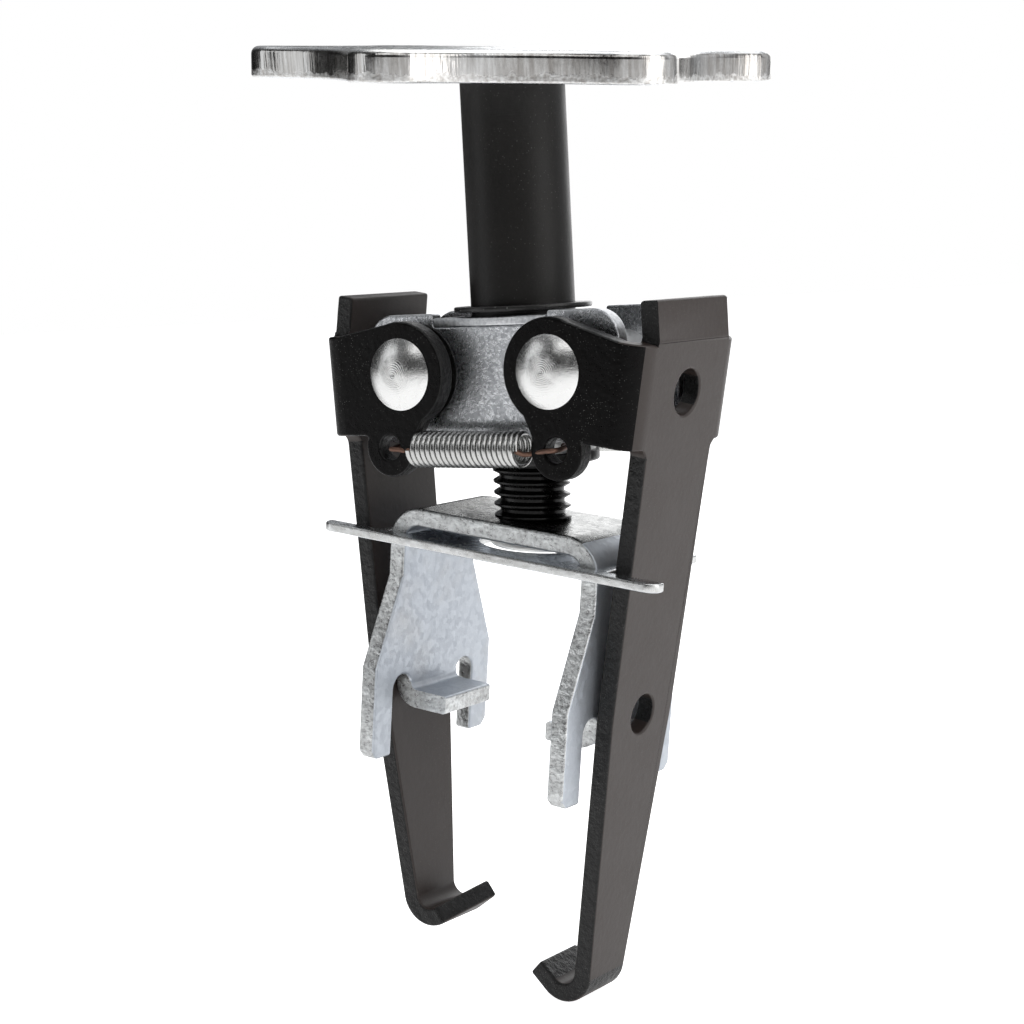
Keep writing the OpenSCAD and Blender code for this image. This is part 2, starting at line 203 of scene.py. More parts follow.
def round_edges(piece, width, steps=3, limit=32, by_weight=False, spare=None):
    """Rounds the edges of a piece but those it is told to spare, and smooths its bends."""
    bpy.ops.object.select_all(action="DESELECT")
    piece.select_set(True)
    bpy.context.view_layer.objects.active = piece
    if spare:
        by_weight = True
        piece.data.attributes.new("bevel_weight_edge", "FLOAT", "EDGE")
        bm = bmesh.new()
        bm.from_mesh(piece.data)
        weights = bm.edges.layers.float["bevel_weight_edge"]
        for edge in bm.edges:
            middle = (edge.verts[0].co + edge.verts[1].co) / 2
            if edge.calc_face_angle(0) > radians(limit) and not spare(middle / MM):
                edge[weights] = 1
        bm.to_mesh(piece.data)
        bm.free()
    bpy.ops.object.modifier_add(type="BEVEL")
    bevel = piece.modifiers[-1]
    bevel.width = width
    bevel.segments = steps
    bevel.limit_method = "WEIGHT" if by_weight else "ANGLE"
    bevel.angle_limit = radians(limit)
    bevel.use_clamp_overlap = False
    bevel.miter_outer = "MITER_ARC"
    bpy.ops.object.modifier_apply(modifier=bevel.name)
    bpy.ops.object.shade_smooth_by_angle(angle=radians(38))
    bpy.ops.object.modifier_add(type="WEIGHTED_NORMAL")
    level = piece.modifiers[-1]
    level.keep_sharp = True
    level.weight = 100
    bpy.ops.object.modifier_apply(modifier=level.name)


def new_group(name, inputs, outputs):
    """A shader node group with named sockets; returns it with its own ends."""
    group = bpy.data.node_groups.new(name, "ShaderNodeTree")
    for label, kind, value in inputs:
        socket = group.interface.new_socket(label, in_out="INPUT", socket_type=kind)
        socket.default_value = value
    for label, kind in outputs:
        group.interface.new_socket(label, in_out="OUTPUT", socket_type=kind)
    return group, group.nodes.new("NodeGroupInput"), group.nodes.new("NodeGroupOutput")


def blend_colour(tree, factor, a, b):
    made = tree.nodes.new("ShaderNodeMix")
    made.data_type = "RGBA"
    for i, v in ((0, factor), (6, a), (7, b)):
        if isinstance(v, (int, float, tuple)):
            made.inputs[i].default_value = v
        else:
            tree.links.new(v, made.inputs[i])
    return made.outputs[2]


COLOUR, VALUE, VECTOR = "NodeSocketColor", "NodeSocketFloat", "NodeSocketVector"

# zinc plate: grains of two greys, cloudy stains, fine rolling scratches and a soft grit
zinc_skin, ends, goes = new_group("zinc_skin", [
    ("Light", COLOUR, (0.8, 0.82, 0.85, 1)), ("Dark", COLOUR, (0.45, 0.48, 0.52, 1)),
    ("Stain", COLOUR, (0.6, 0.58, 0.52, 1)), ("Grain size", VALUE, 1.0), ("Grain depth", VALUE, 0.5),
    ("Roughness", VALUE, 0.28)], [("Colour", COLOUR), ("Roughness", VALUE), ("Height", VALUE)])
t = zinc_skin
place = node(t, "ShaderNodeTexCoord").outputs["Object"]
grain_scale = maths(t, "DIVIDE", 900, ends.outputs["Grain size"])
warp = node(t, "ShaderNodeTexNoise", [("Vector", place)], Scale=700, Detail=3)
moved = node(t, "ShaderNodeVectorMath", [(0, place)], operation="ADD")
shift = node(t, "ShaderNodeVectorMath", [(0, warp.outputs["Color"])], operation="SCALE")
shift.inputs["Scale"].default_value = 0.0012
t.links.new(shift.outputs[0], moved.inputs[1])
grains = node(t, "ShaderNodeTexVoronoi", [("Vector", moved.outputs[0]), ("Scale", grain_scale)])
shade = node(t, "ShaderNodeSeparateColor", [(0, grains.outputs["Color"])]).outputs[0]
fine = node(t, "ShaderNodeTexNoise", [("Vector", place)], Scale=2600, Detail=6, Roughness=0.65)
cloud = node(t, "ShaderNodeTexNoise", [("Vector", place)], Scale=95, Detail=4, Roughness=0.6)
mix_amount = maths(t, "MULTIPLY", shade, ends.outputs["Grain depth"])
speckle = maths(t, "MULTIPLY_ADD", fine.outputs["Fac"], 0.7, -0.35)
speckle = maths(t, "MULTIPLY", speckle, ends.outputs["Grain depth"])
tone = maths(t, "ADD", mix_amount, speckle, clamp=True)
body_tone = blend_colour(t, tone, ends.outputs["Light"], ends.outputs["Dark"])
stain = maths(t, "SUBTRACT", cloud.outputs["Fac"], 0.52, clamp=True)
stain = maths(t, "MULTIPLY", stain, 2.2, clamp=True)
t.links.new(blend_colour(t, stain, body_tone, ends.outputs["Stain"]), goes.inputs["Colour"])
rough = maths(t, "MULTIPLY_ADD", fine.outputs["Fac"], 0.3, -0.15)
rough = maths(t, "ADD", ends.outputs["Roughness"], rough)
rough = maths(t, "ADD", rough, maths(t, "MULTIPLY_ADD", shade, 0.16, -0.08), clamp=True)
t.links.new(rough, goes.inputs["Roughness"])
t.links.new(maths(t, "ADD", fine.outputs["Fac"], maths(t, "MULTIPLY", shade, 0.25)), goes.inputs["Height"])

# a sheared edge: lines drawn along one direction, and a torn part that sparkles
sheared_skin, ends, goes = new_group("sheared_skin", [
    ("Bright", COLOUR, (0.85, 0.85, 0.84, 1)), ("Dull", COLOUR, (0.4, 0.38, 0.34, 1)),
    ("Line scale", VECTOR, (1800, 1800, 90)), ("Torn", VALUE, 0.0), ("Roughness", VALUE, 0.25)],
    [("Colour", COLOUR), ("Roughness", VALUE), ("Height", VALUE)])
t = sheared_skin
place = node(t, "ShaderNodeTexCoord").outputs["Object"]
drawn = node(t, "ShaderNodeVectorMath", [(0, place), (1, ends.outputs["Line scale"])],
             operation="MULTIPLY")
lines = node(t, "ShaderNodeTexNoise", [("Vector", drawn.outputs[0])], Scale=1, Detail=3, Roughness=0.6)
torn_grit = node(t, "ShaderNodeTexNoise", [("Vector", place)], Scale=1500, Detail=5, Roughness=0.6)
broad = node(t, "ShaderNodeTexNoise", [("Vector", place)], Scale=120, Detail=2)
line_tone = maths(t, "MULTIPLY_ADD", lines.outputs["Fac"], 2.2, -0.7, clamp=True)
grit_tone = maths(t, "MULTIPLY_ADD", torn_grit.outputs["Fac"], 3.6, -1.2, clamp=True)
tone = node(t, "ShaderNodeMix", [(0, ends.outputs["Torn"]), (2, line_tone), (3, grit_tone)]).outputs[0]
tone = maths(t, "ADD", tone, maths(t, "MULTIPLY_ADD", broad.outputs["Fac"], 0.8, -0.4), clamp=True)
t.links.new(blend_colour(t, tone, ends.outputs["Dull"], ends.outputs["Bright"]), goes.inputs["Colour"])
rough = maths(t, "ADD", ends.outputs["Roughness"], maths(t, "MULTIPLY", ends.outputs["Torn"], 0.2))
patchy = maths(t, "MULTIPLY_ADD", torn_grit.outputs["Fac"], 0.3, -0.15)
t.links.new(maths(t, "ADD", rough, patchy, clamp=True), goes.inputs["Roughness"])
height = node(t, "ShaderNodeMix", [(0, ends.outputs["Torn"]), (2, lines.outputs["Fac"]),
                                   (3, torn_grit.outputs["Fac"])]).outputs[0]
t.links.new(height, goes.inputs["Height"])


def finish(name, group, values, metallic, bump, shine=0.5, more=None):
    """A material from one of the skins, with its own values and its own bump."""
    made = bpy.data.materials.new(name)
    made.use_nodes = True
    tree = made.node_tree
    shader = tree.nodes["Principled BSDF"]
    skin = tree.nodes.new("ShaderNodeGroup")
    skin.node_tree = group
    for key, value in values.items():
        skin.inputs[key].default_value = value
    shader.inputs["Metallic"].default_value = metallic
    shader.inputs["Specular IOR Level"].default_value = shine
    colour, height = skin.outputs["Colour"], skin.outputs["Height"]
    if more:
        colour, height = more(tree, skin)
    tree.links.new(colour, shader.inputs["Base Color"])
    tree.links.new(skin.outputs["Roughness"], shader.inputs["Roughness"])
    relief = tree.nodes.new("ShaderNodeBump")
    relief.inputs["Strength"].default_value = bump[0]
    relief.inputs["Distance"].default_value = bump[1]
    tree.links.new(height, relief.inputs["Height"])
    tree.links.new(relief.outputs[0], shader.inputs["Normal"])
    return made


wheel_up = Euler((radians(2.9), radians(6.1), 0)).to_matrix() @ Vector((0, 0, 1))
wheel_low = Vector((0, 0, (rise + 34.8) * MM))

hand_wheel = press_copy("hand_wheel", "rolled_hand_wheel")
wheel_edges = hand_wheel.data.attributes.new("bevel_weight_edge", "FLOAT", "EDGE")
bm = bmesh.new()
bm.from_mesh(hand_wheel.data)
weights = bm.edges.layers.float["bevel_weight_edge"]
for edge in bm.edges:
    if len(edge.link_faces) == 2:
        across = sorted(face.normal.dot(wheel_up) for face in edge.link_faces)
        middle = (edge.verts[0].co + edge.verts[1].co) / 2
        if abs(across[0]) < 0.3 and across[1] > 0.9:
            edge[weights] = 1.0 if middle.xy.length > 0.02 else 0.3
        if across[0] < -0.9 and abs(across[1]) < 0.3:
            edge[weights] = 0.34
bm.to_mesh(hand_wheel.data)
bm.free()
round_edges(hand_wheel, 1.15 * MM, 5, by_weight=True)


def torn_wheel_edge(tree, skin):
    """The torn band is the lowest third of the edge, with a ragged upper limit."""
    place = node(tree, "ShaderNodeTexCoord").outputs["Object"]
    up = node(tree, "ShaderNodeVectorMath", [(0, place)], operation="DOT_PRODUCT")
    up.inputs[1].default_value = wheel_up
    level = maths(tree, "SUBTRACT", up.outputs["Value"], wheel_low.dot(wheel_up))
    ragged = node(tree, "ShaderNodeTexNoise", [("Vector", place)], Scale=160, Detail=5, Roughness=0.7)
    limit = maths(tree, "MULTIPLY_ADD", ragged.outputs["Fac"], 0.0052, -0.0014)
    torn = maths(tree, "MULTIPLY", maths(tree, "SUBTRACT", limit, level), 2600, clamp=True)
    tree.links.new(torn, skin.inputs["Torn"])
    return skin.outputs["Colour"], skin.outputs["Height"]


wheel_face = finish("wheel_zinc_face", zinc_skin, {
    "Light": (0.86, 0.87, 0.88, 1), "Dark": (0.62, 0.64, 0.66, 1), "Stain": (0.78, 0.76, 0.7, 1),
    "Grain size": 1.2, "Grain depth": 0.5, "Roughness": 0.26}, 1.0, (0.25, 0.00012))
wheel_rim = finish("wheel_sheared_rim", sheared_skin, {
    "Bright": (0.8, 0.8, 0.79, 1), "Dull": (0.42, 0.4, 0.38, 1), "Line scale": (1500, 1500, 60),
    "Roughness": 0.16}, 1.0, (0.35, 0.00015), more=torn_wheel_edge)
hand_wheel.data.materials.append(wheel_face)
hand_wheel.data.materials.append(wheel_rim)
bpy.ops.object.mode_set(mode="EDIT")
pick(lambda f: abs(f.normal.dot(wheel_up)) < 0.62 and f.calc_center_median().xy.length > 0.02)
hand_wheel.active_material_index = 1
bpy.ops.object.material_slot_assign()
bpy.ops.object.mode_set(mode="OBJECT")
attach(hand_wheel, "hand_drive")
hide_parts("hand_wheel")

# ---------------------------------------------------------------------------
# Drive sleeve, retaining ring and thrust flange. Turned steel, chemically
# blackened and oiled: a satin black with faint tool lines and grey handling marks.

black_skin, ends, goes = new_group("black_skin", [
    ("Face", COLOUR, (0.02, 0.02, 0.02, 1)), ("Worn", COLOUR, (0.12, 0.11, 0.1, 1)),
    ("Speck size", VALUE, 1.0), ("Speck amount", VALUE, 0.3), ("Roughness", VALUE, 0.35)],
    [("Colour", COLOUR), ("Roughness", VALUE), ("Height", VALUE)])
t = black_skin
place = node(t, "ShaderNodeTexCoord").outputs["Object"]
speck_scale = maths(t, "DIVIDE", 2200, ends.outputs["Speck size"])
specks = node(t, "ShaderNodeTexVoronoi", [("Vector", place), ("Scale", speck_scale)])
grit = node(t, "ShaderNodeTexNoise", [("Vector", place)], Scale=3200, Detail=5, Roughness=0.65)
peel = node(t, "ShaderNodeTexNoise", [("Vector", place)], Scale=900, Detail=3)
patch = node(t, "ShaderNodeTexNoise", [("Vector", place)], Scale=130, Detail=5, Roughness=0.62)
dot = maths(t, "MULTIPLY", maths(t, "SUBTRACT", 0.17, specks.outputs["Distance"]), 14, clamp=True)
where = maths(t, "SUBTRACT", patch.outputs["Fac"], 0.42, clamp=True)
where = maths(t, "MULTIPLY", where, 5, clamp=True)
dots = maths(t, "MULTIPLY", dot, where)
dots = maths(t, "MULTIPLY", dots, ends.outputs["Speck amount"], clamp=True)
haze = maths(t, "MULTIPLY_ADD", patch.outputs["Fac"], 0.5, -0.12, clamp=True)
haze = maths(t, "ADD", haze, maths(t, "MULTIPLY_ADD", grit.outputs["Fac"], 0.3, -0.15), clamp=True)
hazed = blend_colour(t, maths(t, "MULTIPLY", haze, 0.35), ends.outputs["Face"], ends.outputs["Worn"])
t.links.new(blend_colour(t, dots, hazed, (0.5, 0.5, 0.48, 1)), goes.inputs["Colour"])
rough = maths(t, "MULTIPLY_ADD", patch.outputs["Fac"], 0.2, -0.1)
rough = maths(t, "ADD", ends.outputs["Roughness"], rough)
rough = maths(t, "ADD", rough, maths(t, "MULTIPLY_ADD", grit.outputs["Fac"], 0.16, -0.08), clamp=True)
t.links.new(rough, goes.inputs["Roughness"])
t.links.new(maths(t, "MULTIPLY_ADD", grit.outputs["Fac"], 0.35, peel.outputs["Fac"]), goes.inputs["Height"])


def turned_lines(tree, skin):
    """Faint lathe lines round the sleeve, added to the relief."""
    place = node(tree, "ShaderNodeTexCoord").outputs["Object"]
    drawn = node(tree, "ShaderNodeVectorMath", [(0, place)], operation="MULTIPLY")
    drawn.inputs[1].default_value = (60, 60, 4200)
    lines = node(tree, "ShaderNodeTexNoise", [("Vector", drawn.outputs[0])], Scale=1, Detail=3)
    height = maths(tree, "MULTIPLY_ADD", lines.outputs["Fac"], 0.6, skin.outputs["Height"])
    return skin.outputs["Colour"], height


sleeve_black = finish("sleeve_black", black_skin, {
    "Face": (0.008, 0.0075, 0.007, 1), "Worn": (0.04, 0.034, 0.03, 1), "Speck size": 1.3,
    "Speck amount": 0.08, "Roughness": 0.42}, 0.0, (0.2, 0.00012), shine=0.22, more=turned_lines)
ring_black = finish("ring_black", black_skin, {
    "Face": (0.02, 0.02, 0.02, 1), "Worn": (0.22, 0.21, 0.2, 1), "Speck size": 1.6,
    "Speck amount": 0.9, "Roughness": 0.3}, 0.5, (0.3, 0.00012))
for cad_name, piece_name, skin, width in (
        ("drive_tube", "drive_sleeve", sleeve_black, 0.3),
        ("retaining_ring", "sprung_ring", ring_black, 0.22),
        ("thrust_flange", "sleeve_flange", ring_black, 0.35)):
    turned = press_copy(cad_name, piece_name)
    turned.data.materials.append(skin)
    round_edges(turned, width * MM, 3)
    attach(turned, "hand_drive")
    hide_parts(cad_name)

# ---------------------------------------------------------------------------
# Thrust washer, rivets, rivet spacers and the screw's upset end. Bright steel:
# the rivet heads are spun over by a tool, which leaves rings in the middle.

steel_skin, ends, goes = new_group("steel_skin", [
    ("Bright", COLOUR, (0.82, 0.82, 0.81, 1)), ("Dark", COLOUR, (0.5, 0.49, 0.47, 1)),
    ("Scratch", VALUE, 0.5), ("Roughness", VALUE, 0.16)],
    [("Colour", COLOUR), ("Roughness", VALUE), ("Height", VALUE)])
t = steel_skin
place = node(t, "ShaderNodeTexCoord").outputs["Object"]
turned_round = node(t, "ShaderNodeMapping", [("Vector", place)])
turned_round.inputs["Rotation"].default_value = (0.3, 0.7, 0.5)
drawn = node(t, "ShaderNodeVectorMath", [(0, turned_round.outputs[0])], operation="MULTIPLY")
drawn.inputs[1].default_value = (3600, 250, 3600)
scratches = node(t, "ShaderNodeTexNoise", [("Vector", drawn.outputs[0])], Scale=1, Detail=4, Roughness=0.7)
pits = node(t, "ShaderNodeTexNoise", [("Vector", place)], Scale=1500, Detail=5, Roughness=0.6)
cut = maths(t, "MULTIPLY_ADD", scratches.outputs["Fac"], 3, -1.35, clamp=True)
dull = maths(t, "MULTIPLY", maths(t, "MULTIPLY_ADD", pits.outputs["Fac"], 1.6, -0.6, clamp=True), cut)
dull = maths(t, "MULTIPLY", dull, ends.outputs["Scratch"], clamp=True)
t.links.new(blend_colour(t, dull, ends.outputs["Bright"], ends.outputs["Dark"]), goes.inputs["Colour"])
rough = maths(t, "MULTIPLY_ADD", pits.outputs["Fac"], 0.2, ends.outputs["Roughness"])
t.links.new(maths(t, "ADD", rough, maths(t, "MULTIPLY", dull, 0.2), clamp=True), goes.inputs["Roughness"])
height = maths(t, "MULTIPLY_ADD", cut, -0.5, pits.outputs["Fac"])
t.links.new(maths(t, "MULTIPLY", height, ends.outputs["Scratch"]), goes.inputs["Height"])


def spun_rings(centre):
    """Rings left by the spinning tool in the middle of a rivet's head."""
    def add(tree, skin):
        place = node(tree, "ShaderNodeTexCoord").outputs["Object"]
        about = node(tree, "ShaderNodeVectorMath", [(0, place)], operation="SUBTRACT")
        about.inputs[1].default_value = centre
        flat = node(tree, "ShaderNodeVectorMath", [(0, about.outputs[0])], operation="MULTIPLY")
        flat.inputs[1].default_value = (1, 0, 1)
        reach = node(tree, "ShaderNodeVectorMath", [(0, flat.outputs[0])], operation="LENGTH")
        reach = reach.outputs["Value"]
        wobble = node(tree, "ShaderNodeTexNoise", [("Vector", place)], Scale=500, Detail=4)
        off = maths(tree, "MULTIPLY_ADD", wobble.outputs["Fac"], 0.0009, reach)
        ring = maths(tree, "SINE", maths(tree, "MULTIPLY", off, 21000))
        fade = maths(tree, "MULTIPLY", maths(tree, "SUBTRACT", 0.0034, reach), 700, clamp=True)
        height = maths(tree, "MULTIPLY", ring, fade)
        height = maths(tree, "MULTIPLY_ADD", height, 0.5, skin.outputs["Height"])
        worn = maths(tree, "MULTIPLY", maths(tree, "MULTIPLY_ADD", ring, 0.22, 0.22), fade)
        return blend_colour(tree, worn, skin.outputs["Colour"], (0.42, 0.41, 0.4, 1)), height
    return add


rivet_x, rivet_z = 13.58, rise - 8.85
for side, cad_name in ((-1, "left_rivet"), (1, "right_rivet")):
    rings = spun_rings((side * rivet_x * MM, 0, rivet_z * MM))
    head_steel = finish(cad_name + "_steel", steel_skin, {"Scratch": 0.5, "Roughness": 0.14},
                        1.0, (0.3, 0.00013), more=rings)
    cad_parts[cad_name].data.materials.clear()
    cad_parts[cad_name].data.materials.append(head_steel)
plain_steel = finish("turned_steel", steel_skin, {"Scratch": 0.8, "Roughness": 0.22}, 1.0, (0.4, 0.00015))
for cad_name in ("left_spacer", "right_spacer", "thrust_washer"):
    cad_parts[cad_name].data.materials.clear()
    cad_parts[cad_name].data.materials.append(plain_steel)
upset = press_copy("screw_rivet", "upset_screw_end")
upset.data.materials.append(plain_steel)
round_edges(upset, 0.5 * MM, 4)
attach(upset, "screw_yoke")
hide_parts("screw_rivet")

# ---------------------------------------------------------------------------
# Housing. A channel pressed from 2.5 mm steel with a mottled zinc finish, and
# its notch filled by a thinner top plate that carries the sleeve.

housing = press_copy("housing", "pressed_housing")
house_skin = finish("housing_zinc", zinc_skin, {
    "Light": (0.7, 0.71, 0.73, 1), "Dark": (0.3, 0.31, 0.33, 1), "Stain": (0.5, 0.5, 0.5, 1),
    "Grain size": 0.45, "Grain depth": 0.75, "Roughness": 0.27}, 1.0, (0.45, 0.00018))
house_edge = finish("housing_sheared_edge", sheared_skin, {
    "Bright": (0.86, 0.87, 0.88, 1), "Dull": (0.4, 0.41, 0.43, 1), "Line scale": (900, 300, 900), "Torn": 0.6,
    "Roughness": 0.25}, 1.0, (0.5, 0.00015))
housing.data.materials.append(house_skin)
housing.data.materials.append(house_edge)
bpy.ops.object.mode_set(mode="EDIT")
pick(lambda f: abs(f.normal.x) > 0.5 or (f.normal.z > 0.5 and f.calc_center_median().z > 0.0972))
housing.active_material_index = 1
bpy.ops.object.material_slot_assign()
bpy.ops.object.mode_set(mode="OBJECT")
round_edges(housing, 0.4 * MM, 3)
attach(housing, "housing")
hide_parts("housing")

top_plate = press_copy("top_plate", "sleeve_plate")
top_plate.data.materials.append(house_edge)
round_edges(top_plate, 0.25 * MM, 3)
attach(top_plate, "housing")
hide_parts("top_plate")

# ---------------------------------------------------------------------------
# Jaw washers. Three thin blackened shims on each rivet, front and back, that
# take up the gap between the housing and a jaw's ear.

shim_black = finish("shim_black", black_skin, {
    "Face": (0.012, 0.012, 0.012, 1), "Worn": (0.09, 0.086, 0.082, 1), "Speck size": 1.2,
    "Speck amount": 0.6, "Roughness": 0.2}, 0.4, (0.3, 0.0001), shine=0.7)
for side, washers in ((-1, "left_washers"), (1, "right_washers")):
    for front in (-1, 1):
        for count, radius in enumerate((7.6, 6.95, 7.4)):
            bpy.ops.object.select_all(action="DESELECT")
            middle = (side * rivet_x * MM, front * (9.8 + 0.6 * count) * MM, rivet_z * MM)
            bpy.ops.mesh.primitive_circle_add(vertices=72, radius=4.1 * MM, rotation=(pi / 2, 0, 0),
                                              location=middle)
            shim = bpy.context.object
            shim.name = f"{washers}_{'front' if front < 0 else 'back'}_shim_{count + 1}"
            shim.data.name = shim.name
            bpy.ops.object.transform_apply(location=False, rotation=True, scale=False)
            bpy.ops.object.mode_set(mode="EDIT")
            bpy.ops.mesh.select_all(action="SELECT")
            bpy.ops.mesh.extrude_edges_move()
            grow = radius / 4.1
            bpy.ops.transform.resize(value=(grow, 1, grow), center_override=middle)
            bpy.ops.object.mode_set(mode="OBJECT")
            bpy.ops.object.transform_apply(location=True, rotation=True, scale=True)
            bpy.ops.object.modifier_add(type="SOLIDIFY")
            shim.modifiers[-1].thickness = 0.5 * MM
            shim.modifiers[-1].offset = 0
            bpy.ops.object.modifier_apply(modifier=shim.modifiers[-1].name)
            bpy.ops.object.mode_set(mode="EDIT")
            bpy.ops.mesh.select_all(action="SELECT")
            bpy.ops.mesh.normals_make_consistent(inside=False)
            bpy.ops.object.mode_set(mode="OBJECT")
            shim.data.materials.append(shim_black)
            round_edges(shim, 0.12 * MM, 2)
            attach(shim, washers)
            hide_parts(washers)

# ---------------------------------------------------------------------------
# Jaws. Each is blanked from 2.9 mm plate and folded into a strap with two ears,
# its foot bent into a hook, then blackened: satin outside, rough and blacker
# along the sheared edges.

jaw_face_black = finish("jaw_satin_black", black_skin, {
    "Face": (0.026, 0.018, 0.015, 1), "Worn": (0.07, 0.055, 0.05, 1), "Speck size": 0.8,
    "Speck amount": 0.12, "Roughness": 0.42}, 0.0, (0.3, 0.00012), shine=0.45)
# The ears' flat faces get a near-black copy of the jaws' satin black: painted shade on the ears, which face
# the dim front.
jaw_ear_painted_shade_black = finish("jaw_ear_painted_shade_black", black_skin, {
    "Face": (0.0015, 0.0012, 0.0012, 1), "Worn": (0.009, 0.008, 0.008, 1), "Speck size": 0.8,
    "Speck amount": 0.3, "Roughness": 0.3}, 0.0, (0.4, 0.0002), shine=0.1)
jaw_edge_black = finish("jaw_sheared_black", black_skin, {
    "Face": (0.004, 0.004, 0.004, 1), "Worn": (0.05, 0.047, 0.045, 1), "Speck size": 0.7,
    "Speck amount": 0.35, "Roughness": 0.36}, 0.0, (1.0, 0.0004), shine=0.35)


def sheared(face):
    """Whether a face of a jaw is one that the press cut."""
    middle = face.calc_center_median()
    side_edge = abs(face.normal.y) > 0.8 and abs(middle.y) < 10.2 * MM
    ear_edge = (abs(face.normal.y) < 0.5 and abs(middle.x) < 24 * MM
                and 11.45 * MM < abs(middle.y) < 14.25 * MM)
    tip = middle.z < 18 * MM and abs(middle.x) < 22 * MM and abs(face.normal.x) > 0.7
    return side_edge or ear_edge or tip


for cad_name, piece_name in (("left_jaw", "folded_left_jaw"), ("right_jaw", "folded_right_jaw")):
    jaw = press_copy(cad_name, piece_name)
    jaw.data.materials.append(jaw_face_black)
    jaw.data.materials.append(jaw_edge_black)
    jaw.data.materials.append(jaw_ear_painted_shade_black)
    bpy.ops.object.mode_set(mode="EDIT")
    pick(sheared)
    jaw.active_material_index = 1
    bpy.ops.object.material_slot_assign()
    # the ears' flat faces take the painted-shade copy of the black
    pick(lambda f: abs(f.normal.y) > 0.5 and abs(f.calc_center_median().y) > 11 * MM)
    jaw.active_material_index = 2
    bpy.ops.object.material_slot_assign()
    bpy.ops.object.mode_set(mode="OBJECT")
    round_edges(jaw, 0.42 * MM, 3, spare=lambda at: abs(abs(at.y) - 9.9) < 0.1 and 96 < at.z < 107)
    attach(jaw, cad_name)
    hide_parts(cad_name)

# ---------------------------------------------------------------------------
# Springs. Twenty-one turns of 0.8 mm wire, wound close, a bent hook at each end,
# one in front and one behind. Each is made in four lengths from its middle, so
# that one follows its jaw's washers and the next its jaw.

spring_steel = finish("spring_wire", steel_skin, {
    "Bright": (0.56, 0.56, 0.55, 1), "Dark": (0.25, 0.24, 0.22, 1), "Scratch": 0.2, "Roughness": 0.14},
    1.0, (0.2, 0.0001))
hook_steel = finish("rusted_hook_wire", steel_skin, {
    "Bright": (0.17, 0.1, 0.075, 1), "Dark": (0.06, 0.03, 0.02, 1), "Scratch": 0.9, "Roughness": 0.35},
    0.9, (0.4, 0.0001))
for front, place_name, cad_name in ((-1, "front", "front_spring"), (1, "back", "back_spring")):
    for side, jaw_name, washer_name, reach, hole_x, hole_z in (
            (-1, "left_jaw", "left_washers", -11.6, -16.08, -20.19),
            (1, "right_jaw", "right_washers", 8.3, 14.35, -20.33)):
        middle_x = -1.65
        cut_x = middle_x + (reach - middle_x) * 5 / 10.5
        coil_y, coil_z, coil_r, wire = front * 13.4, rise - 20.3, 2.44, 0.4
        for section, near_body, far_body, from_x, to_x, turns in (
                ("inner", "housing", washer_name, middle_x, cut_x, 5),
                ("outer", washer_name, jaw_name, cut_x, reach, 5.5)):
            bpy.ops.object.select_all(action="DESELECT")
            bpy.ops.mesh.primitive_circle_add(vertices=10, radius=wire * MM, location=(0, 0, 0))
            coil = bpy.context.object
            coil.name = f"{place_name}_spring_{'left' if side < 0 else 'right'}_{section}"
            coil.data.name = coil.name
            bpy.ops.object.mode_set(mode="EDIT")
            bpy.ops.mesh.select_all(action="SELECT")
            bpy.ops.transform.translate(value=(0, coil_r * MM, 0))
            bpy.ops.object.mode_set(mode="OBJECT")
            bpy.ops.object.modifier_add(type="SCREW")
            wind = coil.modifiers[-1]
            wind.axis = "X"
            wind.angle = side * 2 * pi * turns
            wind.screw_offset = (to_x - from_x) * MM
            wind.steps = wind.render_steps = int(24 * turns)
            wind.use_merge_vertices = False
            bpy.ops.object.modifier_apply(modifier=wind.name)
            bpy.ops.object.mode_set(mode="EDIT")
            bpy.ops.mesh.select_all(action="SELECT")
            bpy.ops.mesh.fill_holes(sides=0)
            bpy.ops.mesh.select_all(action="SELECT")
            bpy.ops.mesh.normals_make_consistent(inside=False)
            bpy.ops.transform.translate(value=(from_x * MM, coil_y * MM, coil_z * MM))
            bpy.ops.object.mode_set(mode="OBJECT")
            coil.data.materials.append(spring_steel)
            bpy.ops.object.shade_smooth_by_angle(angle=radians(50))
            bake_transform(coil, near_body, far_body, start=(from_x * MM, coil_y * MM, coil_z * MM),
                     end=(to_x * MM, coil_y * MM, coil_z * MM))
            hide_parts(cad_name)

        # the hook leaves the last half turn, crosses to the ear and turns in through its hole
        hook_z = hole_z + rise
        points = [(reach, coil_y - coil_r * 0.98, coil_z),
                  (reach + side * 0.5, coil_y - coil_r * 0.55, coil_z - 0.7),
                  (reach + side * 1.2, coil_y + front * 0.2, coil_z - 0.6),
                  (hole_x - side * 1.9, coil_y + front * 0.9, hook_z - 0.1),
                  (hole_x - side * 0.7, coil_y + front * 1.5, hook_z),
                  (hole_x, front * 14.2, hook_z),
                  (hole_x + side * 0.1, front * 12.6, hook_z + 0.1),
                  (hole_x - side * 0.2, front * 11.0, hook_z + 0.3),
                  (hole_x - side * 1.2, front * 10.4, hook_z + 0.4)]
        bpy.ops.object.select_all(action="DESELECT")
        bpy.ops.curve.primitive_nurbs_path_add(location=(0, 0, 0))
        hook = bpy.context.object
        hook.name = f"{place_name}_spring_{'left' if side < 0 else 'right'}_hook"
        path = hook.data.splines[0]
        path.points.add(len(points) - len(path.points))
        for at, point in zip(path.points, points):
            at.co = (point[0] * MM, point[1] * MM, point[2] * MM, 1)
        path.order_u = 3
        path.use_endpoint_u = True
        hook.data.dimensions = "3D"
        hook.data.resolution_u = 8
        hook.data.bevel_depth = wire * MM
        hook.data.bevel_resolution = 3
        hook.data.use_fill_caps = True
        bpy.ops.object.convert(target="MESH")
        hook.data.name = hook.name
        hook.data.materials.append(hook_steel)
        bpy.ops.object.shade_smooth_by_angle(angle=radians(50))
        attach(hook, jaw_name)
        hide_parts(cad_name)

